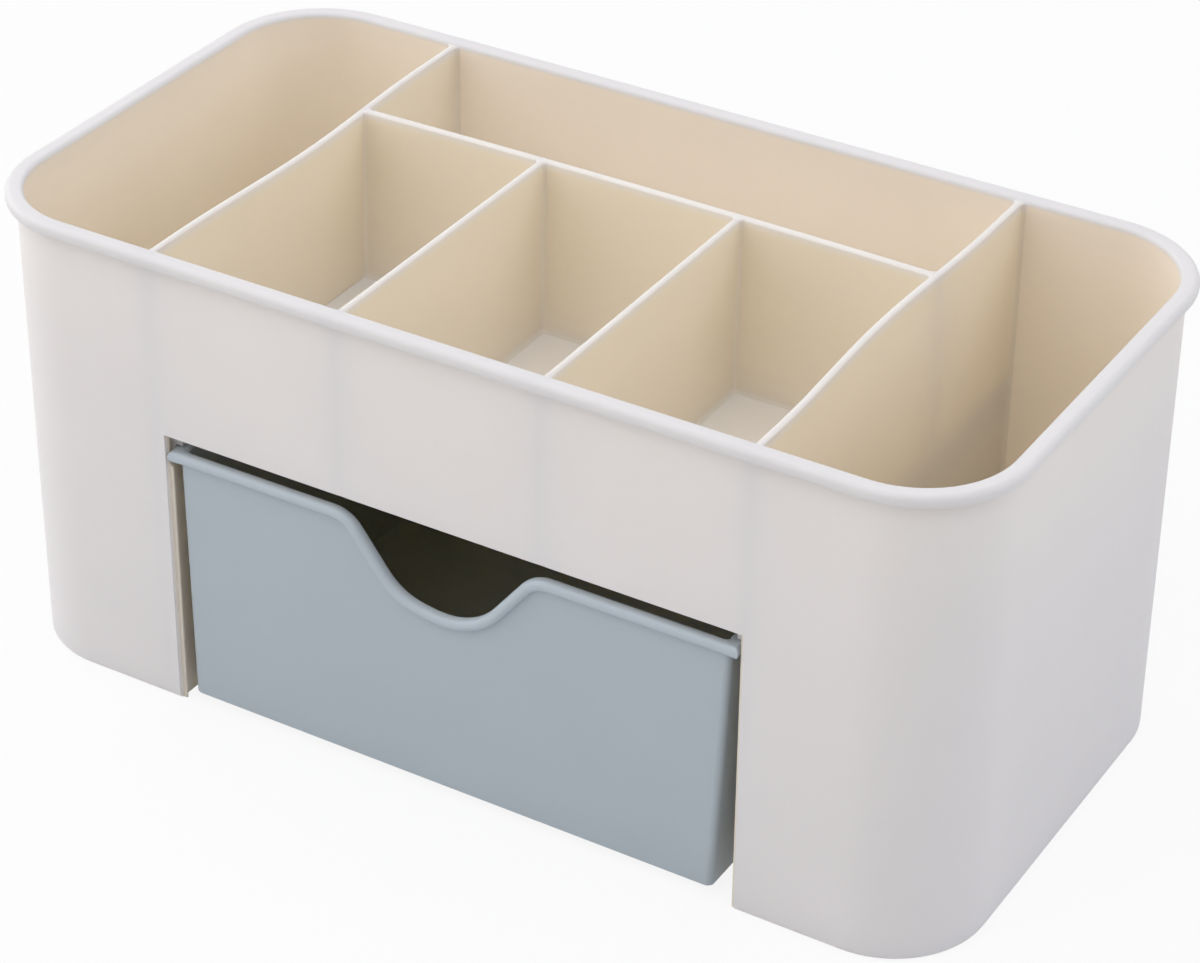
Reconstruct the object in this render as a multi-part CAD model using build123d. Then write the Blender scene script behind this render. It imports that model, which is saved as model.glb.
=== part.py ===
from build123d import *
import os
from math import asin, atan2, cos, hypot, sin, sqrt

# Desktop cosmetic organizer: open compartments over one drawer, all in moulded plastic.
# Lengths are millimetres. X runs to the right, Y to the back and Z up.
# The origin is the middle of the base, on the surface that the box stands on.

# Outer shell
RIM_WIDTH = 220.0
RIM_DEPTH = 113.0
HEIGHT = 104.0
RIM_CORNER = 22.5
RIM_OVERHANG = 2.2
RIM_HEIGHT = 2.8
RIM_OUTER_ROUND_SHARE = 0.42
RIM_INNER_ROUND_SHARE = 0.6
WALL = 1.5
BASE_ROUND = 1.4
LEDGE_WIDTH = 2.5
LEDGE_HEIGHT = 1.2

# Drawer opening in the front wall, open at the bottom
OPENING_WIDTH = 128.6
OPENING_HEIGHT = 63.5
OPENING_ROUND = 0.7

# Panels inside the shell
BAY_STEP = 0.8
PARTITION = 1.5
PARTITION_BOW = 1.5
CROSS_DIVIDER = 1.8
FRONT_DIVIDER = 1.4
MIDDLE_BIN_WIDTH = 43.4
BACK_TRAY_DEPTH = 33.8
TOP_DROP = 0.5
TOP_EDGE_ROUND_SHARE = 0.28
TRAY_FLOOR = 1.5
WELL_FLOOR = 1.6
GROOVE = 0.5
FIT_GAP = 0.1
TENON_LENGTH = 14.0

# Drawer
DRAWER_SIDE_GAP = 2.6
DRAWER_GAP_ABOVE = 3.8
DRAWER_GAP_BELOW = 2.0
DRAWER_DRAFT = 1.6
DRAWER_WALL = 1.3
DRAWER_FLOOR = 1.6
DRAWER_CORNER = 1.6
DRAWER_INNER_CORNER = 1.2
DRAWER_BASE_ROUND = 0.6
DRAWER_REAR_GAP = 1.5
FLANGE = 1.6
LIP_SET_BACK = 0.2
LIP_OVERHANG = 1.2
LIP_HEIGHT = 2.4
LIP_END_GAP = 0.3
LIP_ROUND_SHARE = 0.4
NOTCH_WIDTH = 47.0
NOTCH_DEPTH = 16.4
NOTCH_SHOULDER = 8.0
NOTCH_BOTTOM = 14.0

# Drawer runners
RUNNER_WEB = 1.2
RUNNER_LEDGE = 1.2
RUNNER_GAP = 0.6
SLIDE_GAP_SIDE = 0.4
SLIDE_GAP_ABOVE = 0.3
SLIDE_GAP_BELOW = 0.2
CLOSE_GAP = 0.4

# How far a cut runs past the face that it opens
OVERRUN = 5.0

# Shell outlines
wall_width = RIM_WIDTH - 2 * RIM_OVERHANG
wall_depth = RIM_DEPTH - 2 * RIM_OVERHANG
wall_corner = RIM_CORNER - RIM_OVERHANG
inner_width = wall_width - 2 * WALL
inner_depth = wall_depth - 2 * WALL
inner_corner = wall_corner - WALL
front_y = -wall_depth / 2
inner_back_y = inner_depth / 2

# Panel places
opening_half = OPENING_WIDTH / 2
bay_half = opening_half + BAY_STEP
partition_half = bay_half + PARTITION
panel_reach = inner_depth / 2 + GROOVE - FIT_GAP
panel_top = HEIGHT - TOP_DROP
tray_top = OPENING_HEIGHT + TRAY_FLOOR
cross_back_y = inner_back_y - BACK_TRAY_DEPTH
cross_front_y = cross_back_y - CROSS_DIVIDER
front_divider_half = (MIDDLE_BIN_WIDTH + FRONT_DIVIDER) / 2
outer_bin_half = (front_divider_half + bay_half) / 2
front_tenon_y = (cross_front_y - inner_depth / 2) / 2

# Drawer places
drawer_half = opening_half - DRAWER_SIDE_GAP
drawer_top = OPENING_HEIGHT - DRAWER_GAP_ABOVE
flange_half = bay_half - RUNNER_WEB - SLIDE_GAP_SIDE
flange_under = drawer_top - FLANGE
lip_front_y = front_y + LIP_SET_BACK
drawer_front_y = lip_front_y + LIP_OVERHANG
lip_back_y = drawer_front_y + DRAWER_WALL
flange_back_y = inner_back_y - DRAWER_REAR_GAP
drawer_back_y = flange_back_y - (flange_half - drawer_half)
drawer_length = drawer_back_y - drawer_front_y
drawer_middle_y = (drawer_back_y + drawer_front_y) / 2


def block(low, high):
    """Box between two opposite corners."""
    size = Vector(*high) - Vector(*low)
    return Pos(*low) * Box(size.X, size.Y, size.Z, align=(Align.MIN, Align.MIN, Align.MIN))


def round_block(width, depth, corner, low_z, high_z):
    """Upright prism with round corners, centred on the Z axis."""
    return Pos(0, 0, low_z) * extrude(RectangleRounded(width, depth, corner), high_z - low_z)


def partition_bow(y):
    """How far a partition's top edge bows towards the middle at this y."""
    radius = (panel_reach**2 + PARTITION_BOW**2) / (2 * PARTITION_BOW)
    return sqrt(radius**2 - y**2) - radius + PARTITION_BOW


def round_top(panel, thickness):
    """Panel with its two long top edges rounded."""
    long_edges = panel.edges().group_by(Axis.Z)[-1].sort_by(SortBy.LENGTH)[-2:]
    return fillet(long_edges, TOP_EDGE_ROUND_SHARE * thickness)


def tenon_slots(places):
    """Slots through the tray floor, each with room round the tenon that it takes."""
    slots = []
    for x, y, dx, dy in places:
        low = (x - dx - FIT_GAP, y - dy - FIT_GAP, OPENING_HEIGHT - OVERRUN)
        slots.append(block(low, (x + dx + FIT_GAP, y + dy + FIT_GAP, tray_top + OVERRUN)))
    return slots


def cross_tenons():
    """Centre and half sizes of the cross divider's tenons, one over each outer front bin."""
    y = (cross_front_y + cross_back_y) / 2
    return [(side * outer_bin_half, y, TENON_LENGTH / 2, CROSS_DIVIDER / 2) for side in (-1, 1)]


def front_tenon(side):
    """Centre and half sizes of a front divider's tenon."""
    return (side * front_divider_half, front_tenon_y, FRONT_DIVIDER / 2, TENON_LENGTH / 2)


def tenon(place):
    """Peg under a divider, as long as the tray floor is thick."""
    x, y, dx, dy = place
    return block((x - dx, y - dy, OPENING_HEIGHT), (x + dx, y + dy, tray_top))


def make_outer_shell():
    """Round-cornered wall with a rolled rim, a ledge for the well floors and the drawer opening."""
    wall = round_block(wall_width, wall_depth, wall_corner, 0, HEIGHT)
    wall = fillet(wall.edges().group_by(Axis.Z)[0], min(BASE_ROUND, WALL))
    rim = round_block(RIM_WIDTH, RIM_DEPTH, RIM_CORNER, HEIGHT - RIM_HEIGHT, HEIGHT)
    outer_round = RIM_OUTER_ROUND_SHARE * min(RIM_HEIGHT, RIM_OVERHANG + WALL)
    rim = fillet(rim.edges().group_by(Axis.Z)[-1], outer_round)
    rim = fillet(rim.edges().group_by(Axis.Z)[0], outer_round)
    shell = wall + rim - round_block(inner_width, inner_depth, inner_corner, LEDGE_HEIGHT, HEIGHT + OVERRUN)
    inner_loop = shell.faces().sort_by(Axis.Z)[-1].inner_wires()[0].edges()
    shell = shell.fillet(RIM_INNER_ROUND_SHARE * WALL, inner_loop)
    well_width = inner_width - 2 * LEDGE_WIDTH
    well_depth = inner_depth - 2 * LEDGE_WIDTH
    shell = shell - round_block(well_width, well_depth, inner_corner - LEDGE_WIDTH, -OVERRUN, HEIGHT)
    shell = shell - block((-opening_half, front_y - OVERRUN, -OVERRUN), (opening_half, 0, OPENING_HEIGHT))
    shell = shell - block((-bay_half, -inner_depth / 2, -OVERRUN), (bay_half, 0, OPENING_HEIGHT))
    opening_edges = [
        edge
        for edge in shell.edges().filter_by_position(Axis.Y, front_y - FIT_GAP, front_y + FIT_GAP)
        if abs(edge.center().X) < partition_half and edge.center().Z < OPENING_HEIGHT + FIT_GAP
    ]
    shell = shell.fillet(min(OPENING_ROUND, WALL - GROOVE - FIT_GAP), opening_edges)
    groove_y = inner_depth / 2 + GROOVE
    for side in (-1, 1):
        x = side * (bay_half + partition_half) / 2
        half = PARTITION / 2 + FIT_GAP
        shell = shell - block((x - half, -groove_y, -OVERRUN), (x + half, groove_y, HEIGHT + OVERRUN))
        x = side * front_divider_half
        half = FRONT_DIVIDER / 2 + FIT_GAP
        shell = shell - block((x - half, -groove_y, tray_top), (x + half, 0, HEIGHT + OVERRUN))
    return shell


def make_partition(side):
    """Full-height panel: straight beside the drawer, bowed towards the middle at its top edge."""
    near, far = side * bay_half, side * partition_half
    low_x, high_x = min(near, far), max(near, far)
    panel = block((low_x, -panel_reach, 0), (high_x, panel_reach, tray_top))
    straight = Pos((near + far) / 2, 0, tray_top) * Rectangle(PARTITION, 2 * panel_reach)
    bow_x = side * PARTITION_BOW
    outline = (
        ThreePointArc((low_x, -panel_reach), (low_x - bow_x, 0), (low_x, panel_reach))
        + Line((low_x, panel_reach), (high_x, panel_reach))
        + ThreePointArc((high_x, panel_reach), (high_x - bow_x, 0), (high_x, -panel_reach))
        + Line((high_x, -panel_reach), (low_x, -panel_reach))
    )
    panel = panel + loft([straight, Pos(0, 0, panel_top) * make_face(outline)], ruled=True)
    foot_x = far + side * LEDGE_WIDTH
    foot_y = inner_depth / 2 - LEDGE_WIDTH - FIT_GAP
    panel = panel + block((min(far, foot_x), -foot_y, 0), (max(far, foot_x), foot_y, LEDGE_HEIGHT))
    return round_top(panel, PARTITION)


def make_cross_divider():
    """Panel between the back tray and the front bins, on two tenons, grooved for the front dividers."""
    low_half = bay_half - FIT_GAP
    high_half = low_half - partition_bow(cross_front_y)
    corners = [(-low_half, tray_top), (low_half, tray_top), (high_half, panel_top), (-high_half, panel_top)]
    face = Plane.XZ * make_face(Polyline(*corners, close=True))
    panel = Pos(0, cross_back_y, 0) * extrude(face, CROSS_DIVIDER)
    panel = round_top(panel, CROSS_DIVIDER)
    for place in cross_tenons():
        panel = panel + tenon(place)
    half = FRONT_DIVIDER / 2 + FIT_GAP
    for side in (-1, 1):
        x = side * front_divider_half
        low = (x - half, cross_front_y - OVERRUN, tray_top)
        panel = panel - block(low, (x + half, cross_front_y + GROOVE, HEIGHT))
    return panel


def make_front_divider(side):
    """Panel between two front bins, held in the front wall, the cross divider and the tray floor."""
    x = side * front_divider_half
    half = FRONT_DIVIDER / 2
    back_y = cross_front_y + GROOVE - FIT_GAP
    panel = block((x - half, -panel_reach, tray_top), (x + half, back_y, panel_top))
    return round_top(panel, FRONT_DIVIDER) + tenon(front_tenon(side))


def make_tray_floor():
    """Plate under the middle compartments, resting on the runners, slotted for the dividers' tenons."""
    half_x = bay_half - FIT_GAP
    half_y = inner_depth / 2 - FIT_GAP
    plate = block((-half_x, -half_y, OPENING_HEIGHT), (half_x, half_y, tray_top))
    for slot in tenon_slots(cross_tenons() + [front_tenon(-1), front_tenon(1)]):
        plate = plate - slot
    return plate


def make_well_floor(side):
    """Bottom of an end well, lying on the shell's ledge and the partition's foot."""
    top = LEDGE_HEIGHT + WELL_FLOOR
    plate = round_block(
        inner_width - 2 * FIT_GAP, inner_depth - 2 * FIT_GAP, inner_corner - FIT_GAP, LEDGE_HEIGHT, top
    )
    near = side * (partition_half + FIT_GAP)
    far = side * inner_width
    return plate & block((min(near, far), -inner_depth, 0), (max(near, far), inner_depth, HEIGHT))


def make_runner(side):
    """Grooved strip on a partition: it carries the tray floor and guides the drawer's flange."""
    web_x = bay_half - RUNNER_WEB
    inner_x = drawer_half + RUNNER_GAP
    groove_top = drawer_top + SLIDE_GAP_ABOVE
    groove_bottom = flange_under - SLIDE_GAP_BELOW
    bottom = groove_bottom - RUNNER_LEDGE
    section = [
        (bay_half, bottom),
        (bay_half, OPENING_HEIGHT),
        (inner_x, OPENING_HEIGHT),
        (inner_x, groove_top),
        (web_x, groove_top),
        (web_x, groove_bottom),
        (inner_x, groove_bottom),
        (inner_x, bottom),
    ]
    face = Plane.XZ * make_face(Polyline(*[(side * x, z) for x, z in section], close=True))
    return Pos(0, inner_back_y, 0) * extrude(face, inner_back_y - lip_back_y - CLOSE_GAP)


def notch_edge(inset, half_width):
    """Wave-shaped upper edge of the drawer front, moved into the plastic by inset.

    The two shoulders and the bottom are arcs. Lines that touch both join them.
    """
    top = drawer_top - inset
    shoulder = NOTCH_SHOULDER - inset
    bottom = NOTCH_BOTTOM + inset
    shoulder_x = NOTCH_WIDTH / 2
    shoulder_z = drawer_top - NOTCH_SHOULDER
    bottom_z = drawer_top - NOTCH_DEPTH + NOTCH_BOTTOM
    rise = shoulder_z - bottom_z
    slope = asin((shoulder + bottom) / hypot(shoulder_x, rise)) + atan2(rise, shoulder_x)
    low = (bottom * sin(slope), bottom_z - bottom * cos(slope))
    high = (shoulder_x - shoulder * sin(slope), shoulder_z + shoulder * cos(slope))
    turn = (shoulder_x - shoulder * sin(slope / 2), shoulder_z + shoulder * cos(slope / 2))

    def left(point):
        return (-point[0], point[1])

    flat = (shoulder_x, top)
    return (
        Line((-half_width, top), left(flat))
        + ThreePointArc(left(flat), left(turn), left(high))
        + Line(left(high), left(low))
        + ThreePointArc(left(low), (0, bottom_z - bottom), low)
        + Line(low, high)
        + ThreePointArc(high, turn, flat)
        + Line(flat, (half_width, top))
    )


def across_front(outline, from_y, to_y):
    """Solid with this X-Z outline, between two Y planes."""
    return Pos(0, to_y, 0) * extrude(Plane.XZ * make_face(outline), to_y - from_y)


def make_lip():
    """Rolled lip along the drawer front's upper edge, as wide as the opening."""
    half = opening_half - LIP_END_GAP
    low_z = drawer_top - LIP_HEIGHT
    outline = (
        notch_edge(0, half)
        + Line((half, drawer_top), (half, low_z))
        + notch_edge(LIP_HEIGHT, half)
        + Line((-half, low_z), (-half, drawer_top))
    )
    lip = across_front(outline, lip_front_y, lip_back_y)
    front_edges = lip.edges().group_by(Axis.Y)[0]
    return fillet(front_edges, LIP_ROUND_SHARE * min(LIP_HEIGHT, LIP_OVERHANG + DRAWER_WALL))


def drafted_tub(inset, corner, low_z, high_z):
    """Prism of the drawer's outline, moved in by inset: upright in front, the other sides lean in below."""
    width = 2 * (drawer_half - inset)
    length = drawer_length - 2 * inset
    high = Pos(0, drawer_middle_y, high_z) * RectangleRounded(width, length, corner)
    low_size = (width - 2 * DRAWER_DRAFT, length - DRAWER_DRAFT, corner)
    low = Pos(0, drawer_middle_y - DRAWER_DRAFT / 2, low_z) * RectangleRounded(*low_size)
    tub = loft([low, high], ruled=True)
    return fillet(tub.edges().group_by(Axis.Z)[0], min(DRAWER_BASE_ROUND, corner))


def make_drawer():
    """Tub with a wave-notched front, a rolled lip and flanges that ride in the runners."""
    tub = drafted_tub(0, DRAWER_CORNER, DRAWER_GAP_BELOW, drawer_top)
    low = (-flange_half, drawer_front_y, flange_under)
    plate = block(low, (flange_half, flange_back_y, drawer_top))
    back_corners = plate.edges().filter_by(Axis.Z).group_by(Axis.Y)[-1]
    plate = fillet(back_corners, DRAWER_CORNER)
    floor_z = DRAWER_GAP_BELOW + DRAWER_FLOOR
    hollow = drafted_tub(DRAWER_WALL, DRAWER_INNER_CORNER, floor_z, drawer_top + OVERRUN)
    half = NOTCH_WIDTH / 2 + OVERRUN
    above = drawer_top + OVERRUN
    outline = (
        notch_edge(0, half)
        + Line((half, drawer_top), (half, above))
        + Line((half, above), (-half, above))
        + Line((-half, above), (-half, drawer_top))
    )
    notch = across_front(outline, lip_front_y - OVERRUN, lip_back_y + OVERRUN)
    return tub + plate + make_lip() - hollow - notch


nodes = {
    "outer_shell": make_outer_shell(),
    "left_partition": make_partition(-1),
    "right_partition": make_partition(1),
    "cross_divider": make_cross_divider(),
    "left_front_divider": make_front_divider(-1),
    "right_front_divider": make_front_divider(1),
    "tray_floor": make_tray_floor(),
    "left_well_floor": make_well_floor(-1),
    "right_well_floor": make_well_floor(1),
    "left_runner": make_runner(-1),
    "right_runner": make_runner(1),
    "drawer": make_drawer(),
}

os.makedirs("parts", exist_ok=True)
for name, solid in nodes.items():
    export_step(solid, f"parts/{name}.step")
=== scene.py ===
"""Dresses the packed organizer box: moulded shell, thin panels, drawer, plastics and studio."""

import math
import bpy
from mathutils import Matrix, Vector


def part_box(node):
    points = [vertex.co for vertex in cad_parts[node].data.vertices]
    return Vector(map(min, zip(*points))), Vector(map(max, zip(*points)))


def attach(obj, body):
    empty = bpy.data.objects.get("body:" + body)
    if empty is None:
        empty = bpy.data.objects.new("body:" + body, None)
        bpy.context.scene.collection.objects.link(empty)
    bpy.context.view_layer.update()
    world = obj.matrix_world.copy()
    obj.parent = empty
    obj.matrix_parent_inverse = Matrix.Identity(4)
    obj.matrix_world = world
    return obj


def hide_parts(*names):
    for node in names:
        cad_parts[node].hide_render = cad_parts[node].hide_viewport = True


bl_info = {
    "name": "Desktop cosmetic organizer",
    "version": (1, 0, 0),
    "blender": (4, 5, 0),
    "location": "View3D > Sidebar > Organizer",
    "description": "Moulded shell, panels and drawer of a desktop organizer, with plastics and studio",
    "category": "Add Mesh",
}

import bpy
import numpy as np
from bpy.props import FloatProperty, FloatVectorProperty, PointerProperty
from bpy.types import Operator, Panel, PropertyGroup
from mathutils import Matrix, Vector

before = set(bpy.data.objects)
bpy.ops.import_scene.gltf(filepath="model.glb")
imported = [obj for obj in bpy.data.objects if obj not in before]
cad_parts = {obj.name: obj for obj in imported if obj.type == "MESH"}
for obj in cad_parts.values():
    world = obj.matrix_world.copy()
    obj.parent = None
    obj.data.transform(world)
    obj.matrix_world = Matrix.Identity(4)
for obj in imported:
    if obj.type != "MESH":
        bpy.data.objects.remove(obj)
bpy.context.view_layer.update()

CASE, DRAWER = "case", "drawer"
PHOTO_SIZE = (1200, 963)
FOCAL_PIXELS = 3614.226
TINY = 1e-6
# An outline runs straight where its outward way points this much along an axis.
STRAIGHT = 0.999

# How many steps each corner of the shell, its lower edge and a panel's top edge are made of.
CORNER_STEPS, BASE_STEPS, CROWN_STEPS = 18, 5, 12
# Where the meshes have their points, closer together where they curve. In metres: along the shell from a
# jamb and from a sink mark, along a panel from its end, and up a panel from the table, down from the runner
# and up from the tray floor.
JAMB_STATIONS = np.array([-0.0036, -0.0016, -0.0008, 0.0, 0.00075, 0.0015, 0.0024, 0.004])
MARK_STATIONS = np.array([-0.0032, -0.002, -0.0012, -0.0006, 0.0, 0.0006, 0.0012, 0.002, 0.0032])
END_STATIONS = np.array([0.0, 0.0004, 0.0005, 0.0006, 0.0008, 0.001, 0.0013])
PARTITION_ROWS = np.array([0.001, 0.021, 0.043, 0.061, 0.067, 0.075, 0.083, 0.091, 0.097, 0.101, 0.103])
RAIL_ROWS = np.array([0.0001, 0.0004, 0.0008, 0.0011])
DIVIDER_ROWS = np.array([0.0003, 0.0006, 0.001, 0.006, 0.014, 0.022, 0.03, 0.034, 0.0365])

# Shares of the opening's round at the lintel's outer and inner edge.
LINTEL_OUTER, LINTEL_INNER = 0.5, 0.25
# Turns of the outward way in the drawer's corners, in degrees: where its upper edge has points, and how far
# from straight ahead the lip goes on.
LIP_TURNS = (8, 18, 28, 38, 47, 62, 72, 80, 85, 86.5)
LIP_END = 86
# Roundings of the drawer's edge: inside, outside above, outside below, and the hollow under it. The lip's are
# shares of its height. The flanges' are a share of the wall's thickness, then shares of the flange's height.
LIP_ROUNDS = (0.36, 0.48, 0.42, 0.1)
FLANGE_ROUNDS = (0.35, 0.25, 0.25, 0.2)

# Noise textures of the plastic: its cloudy tone, its uneven gloss and its fine grain.
CLOUDS = {"Scale": 38.0, "Detail": 3.0, "Roughness": 0.55}
GLOSS = {"Scale": 160.0, "Detail": 4.0, "Roughness": 0.6}
GRAIN = {"Scale": 1500.0, "Detail": 2.0, "Roughness": 0.5}
# The clouds' darkest and lightest tone, as shares of the plain one.
CLOUD_DARK, CLOUD_LIGHT = 0.975, 1.02
# Part of the gloss noise that counts, and how far it takes the roughness below and above its middle.
GLOSS_USED = {"From Min": 0.3, "From Max": 0.7}
SMOOTHER, ROUGHER = 0.05, 0.06
GRAIN_DEPTH = 0.0002
POLYPROPYLENE = {"IOR": 1.49, "Specular IOR Level": 0.4}

FLOOR_REACH, FLOOR_LEVEL = 3.0, -0.0001
LAMP_AIM = (0.0, 0.0, 0.05)
# Each softbox: its setting, its place and width in metres, and its tint.
SOFTBOXES = (
    ("left", (-1.2, 0.0, 0.75), 1.3, "cool"),
    ("right", (1.05, 0.0, 1.05), 1.8, "blue"),
    ("front", (0.0, -0.9, 1.2), 1.3, "warm"),
    ("top", (0.0, 0.0, 1.5), 1.0, "warm"),
    ("front_left", (-0.85, -0.85, 0.75), 1.3, "warm"),
    ("back", (-0.3, 0.85, 1.2), 1.3, "warm"),
    ("back_right", (0.85, 0.85, 0.75), 1.3, "blue"),
)


def face_of(node, side, axis):
    """Place of one face of a node's box: side 0 low or 1 high, axis 0, 1 or 2 for X, Y or Z."""
    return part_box(node)[side][axis]


def length(name, description, default):
    """A length property in metres."""
    return FloatProperty(
        name=name, description=description, default=default, min=0.0, precision=5,
        unit="LENGTH", subtype="DISTANCE",
    )


def share(name, description, default, top=1.0):
    """A plain number property from nothing to top."""
    return FloatProperty(name=name, description=description, default=default, min=0.0, max=top, precision=3)


def radiance(name, description, default):
    """A lamp's brightness per area, where 1 from all round renders a white surface white."""
    return share(name, "Radiance of the softbox " + description, default, top=50.0)


def angle(name, description, degrees):
    """An angle property, given in degrees."""
    return FloatProperty(name=name, description=description, default=math.radians(degrees), subtype="ANGLE")


def colour(name, description, default):
    """A colour property in linear light."""
    return FloatVectorProperty(
        name=name, description=description, default=default, size=3, min=0.0, max=1.0, subtype="COLOR"
    )


class ShellSizes(PropertyGroup):
    """Sizes of the round-cornered outer wall."""

    width: length("Rim width", "Across the rim", 2 * face_of("outer_shell", 1, 0))
    depth: length("Rim depth", "Front to back over the rim", 2 * face_of("outer_shell", 1, 1))
    height: length("Height", "From the table to the rim's top", face_of("outer_shell", 1, 2))
    corner: length("Rim corner", "Radius of the rim's corners in plan", 0.0225)
    overhang: length("Rim overhang", "How far the rolled rim stands out from the wall", 0.0022)
    rim_height: length("Rim height", "Height of the rolled rim", 0.0028)
    rim_round: length("Rim round", "Radius of the rolled rim's outer edges", 0.00118)
    lip_round: length("Inner round", "Radius of the rim's inner edge", 0.0009)
    neck: length("Neck round", "Hollow radius under the rim", 0.0005)
    band: length("Fine band", "Depth of the finely stepped band below the rim's inner edge", 0.003)
    wall: length("Wall", "Thickness of the wall", 0.0015)
    base_round: length("Base round", "Radius of the outer lower edge", 0.0014)
    ledge: length("Ledge width", "How far the ledge under the well floors stands in", 0.0025)
    ledge_height: length("Ledge height", "Top of the ledge at its free edge", 0.0012)
    ledge_rise: length("Ledge rise", "How much higher the ledge lies at the wall", 0.0001)
    ledge_end: length("Ledge end", "Length over which the ledge ends at a partition", 0.0007)
    opening_half: length("Half opening", "Half the width of the drawer opening", 0.0643)
    opening: length("Opening height", "Height of the drawer opening", face_of("tray_floor", 0, 2))
    opening_round: length("Opening round", "Radius of the jambs' outer edges", 0.0011)
    jamb_shift: length("Jamb shift", "How far the right jamb stands off to the right", 0.0008)
    jamb_fade: length("Jamb fade", "How far to each side of the jamb that shift reaches", 0.006)
    jamb_rise: length("Jamb rise", "How far above the opening that shift reaches", 0.02)
    sink: length("Sink depth", "Depth of the faint marks outside the panels' ends", 0.00006)
    sink_width: length("Sink width", "Spread of those marks", 0.0009)
    sink_fade: length("Sink fade", "Height under the rim over which those marks fade", 0.006)
    cream_start: length("Cream start", "From the rim's top to where the cream inside starts", 0.0003)
    cream_full: length("Cream full", "From the rim's top to where it is full", 0.0016)
    # Where the painted shade on the rolled rim starts and is full: a darker white, because the rim's top
    # catches more light than the wall.
    rim_shade_start: length("Rim tone start", "How far under the rim its tone starts", 0.001)
    rim_shade_full: length("Rim tone full", "How far above the rim's lower edge its tone is full", 0.0004)


class PanelSizes(PropertyGroup):
    """Sizes of the partitions and dividers."""

    bay_half: length("Half bay", "From the middle to a partition's near face", face_of("right_runner", 1, 0))
    partition: length("Partition", "Thickness of the two full-height partitions", 0.0015)
    bow: length("Bow", "How far a partition's top edge bows towards the middle", 0.0015)
    bow_reach: length("Bow reach", "From the middle of the bow to where it ends", 0.042)
    bow_ahead: length("Bow ahead", "How far the middle of the bow lies in front of the box's", 0.003)
    cross_bow: length("Cross bow", "How far the cross divider's top edge bows to the back", 0.0008)
    reach: length("Panel reach", "Half length of the partitions", face_of("left_partition", 1, 1))
    top: length("Panel top", "Height of the panels' top edges", face_of("left_partition", 1, 2))
    tray_top: length("Tray top", "Height of the middle floor", face_of("tray_floor", 1, 2))
    top_round: length("Top round", "Height of the rounded top edge", 0.00055)
    flare: length("Flare", "Radius with which a panel runs into its neighbours", 0.0009)
    seat: length("Seat", "How far a divider's end goes into its neighbour", 0.0003)
    # Heights of the painted light along the panels' top edges: a paler, less cream tone where they catch
    # direct light.
    painted_light_band: length("Pale edge", "Height of the pale band along the top edges", 0.0009)
    painted_light_band_full: length("Full pale edge", "Height of that band's fully pale part", 0.00036)


class DrawerSizes(PropertyGroup):
    """Sizes of the drawer."""

    half: length("Half width", "Half the tub's width at its top", 0.062)
    front: length("Front setback", "From the middle to the tub's front face", 0.0529)
    back: length("Back", "From the middle to the tub's back face", 0.0495)
    top: length("Top", "Height of the drawer's upper edge", face_of("drawer", 1, 2))
    bottom: length("Bottom", "Height of the drawer's underside", face_of("drawer", 0, 2))
    draft: length("Draft", "How far the sides and the back lean in at the bottom", 0.0016)
    hang: length("Hang", "How far the tub's bottom hangs to the left, askew in its runners", 0.001)
    wall: length("Wall", "Thickness of the tub's wall", 0.0013)
    floor: length("Floor", "Thickness of the tub's floor", 0.0016)
    corner: length("Corner", "Radius of the tub's upright corners", 0.0014)
    inner_corner: length("Inner corner", "Radius of those corners inside", 0.001)
    base_round: length("Base round", "Radius of the tub's lower edge", 0.0006)
    inner_round: length("Inner round", "Hollow radius between floor and walls inside", 0.0008)
    flange: length("Flange", "How far the side flanges stand out", 0.0018)
    flange_height: length("Flange height", "Thickness of the side flanges", 0.0016)
    lip: length("Lip", "How far the front lip stands out", 0.0012)
    lip_height: length("Lip height", "Height of the front lip", 0.0024)
    lip_half: length("Half lip", "Half the lip's length, ears included", face_of("drawer", 1, 0))
    notch_width: length("Notch width", "Between the middles of the notch's shoulders", 0.047)
    notch_depth: length("Notch depth", "Depth of the finger notch", 0.0164)
    notch_skew: length("Notch skew", "How much further out the notch's left slope lies", 0.002)
    skew_full: length("Skew full", "From the middle to where that skew is full", 0.007)
    skew_end: length("Skew end", "From the middle to where it starts to fade", 0.03)
    notch_clear: length("Notch clear", "From a shoulder's middle to where the draft starts", 0.002)
    shoulder: length("Shoulder", "Radius of the notch's shoulders", 0.008)
    notch_round: length("Notch bottom", "Radius of the notch's bottom", 0.014)


class Finishes(PropertyGroup):
    """Colours of the plastics."""

    outside: colour("Outside", "White of the shell's outside", (0.862, 0.853, 0.885))
    # Painted shade: the rolled rim gets a darker white than the wall, because its top catches more light.
    rim: colour("Rim", "Slightly darker white of the rolled rim", (0.76, 0.755, 0.79))
    inside: colour("Inside", "Cream of the shell's inside", (0.985, 0.905, 0.86))
    panel: colour("Panels", "Cream of the partitions and dividers", (0.89, 0.842, 0.77))
    # Painted light: a paler, less cream tone for the panels' top edges, where they catch direct light.
    edge: colour("Edges", "Pale top edges of the panels", (0.84, 0.82, 0.83))
    tray: colour("Floors", "White of the compartments' floors", (1.0, 0.98, 1.0))
    drawer: colour("Drawer", "Blue-grey of the drawer", (0.436, 0.497, 0.546))
    # Painted highlight: a lighter blue-grey for the thick lip, which catches the light.
    lip: colour("Lip", "Lighter blue-grey of the drawer's thick lip", (0.463, 0.523, 0.579))
    through: colour("Through light", "Warm tone of the light through thin plastic", (1.0, 0.82, 0.34))
    pale: colour("Pale through light", "Tone of that light on the shell's outside", (1.0, 0.97, 0.94))
    thin: share("Thinness", "Share of the light that goes into thin plastic", 0.21)
    roughness: share("Roughness", "Middle roughness of the satin plastic", 0.46)
    grain: share("Grain", "Strength of the fine moulded texture", 0.10)


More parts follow.
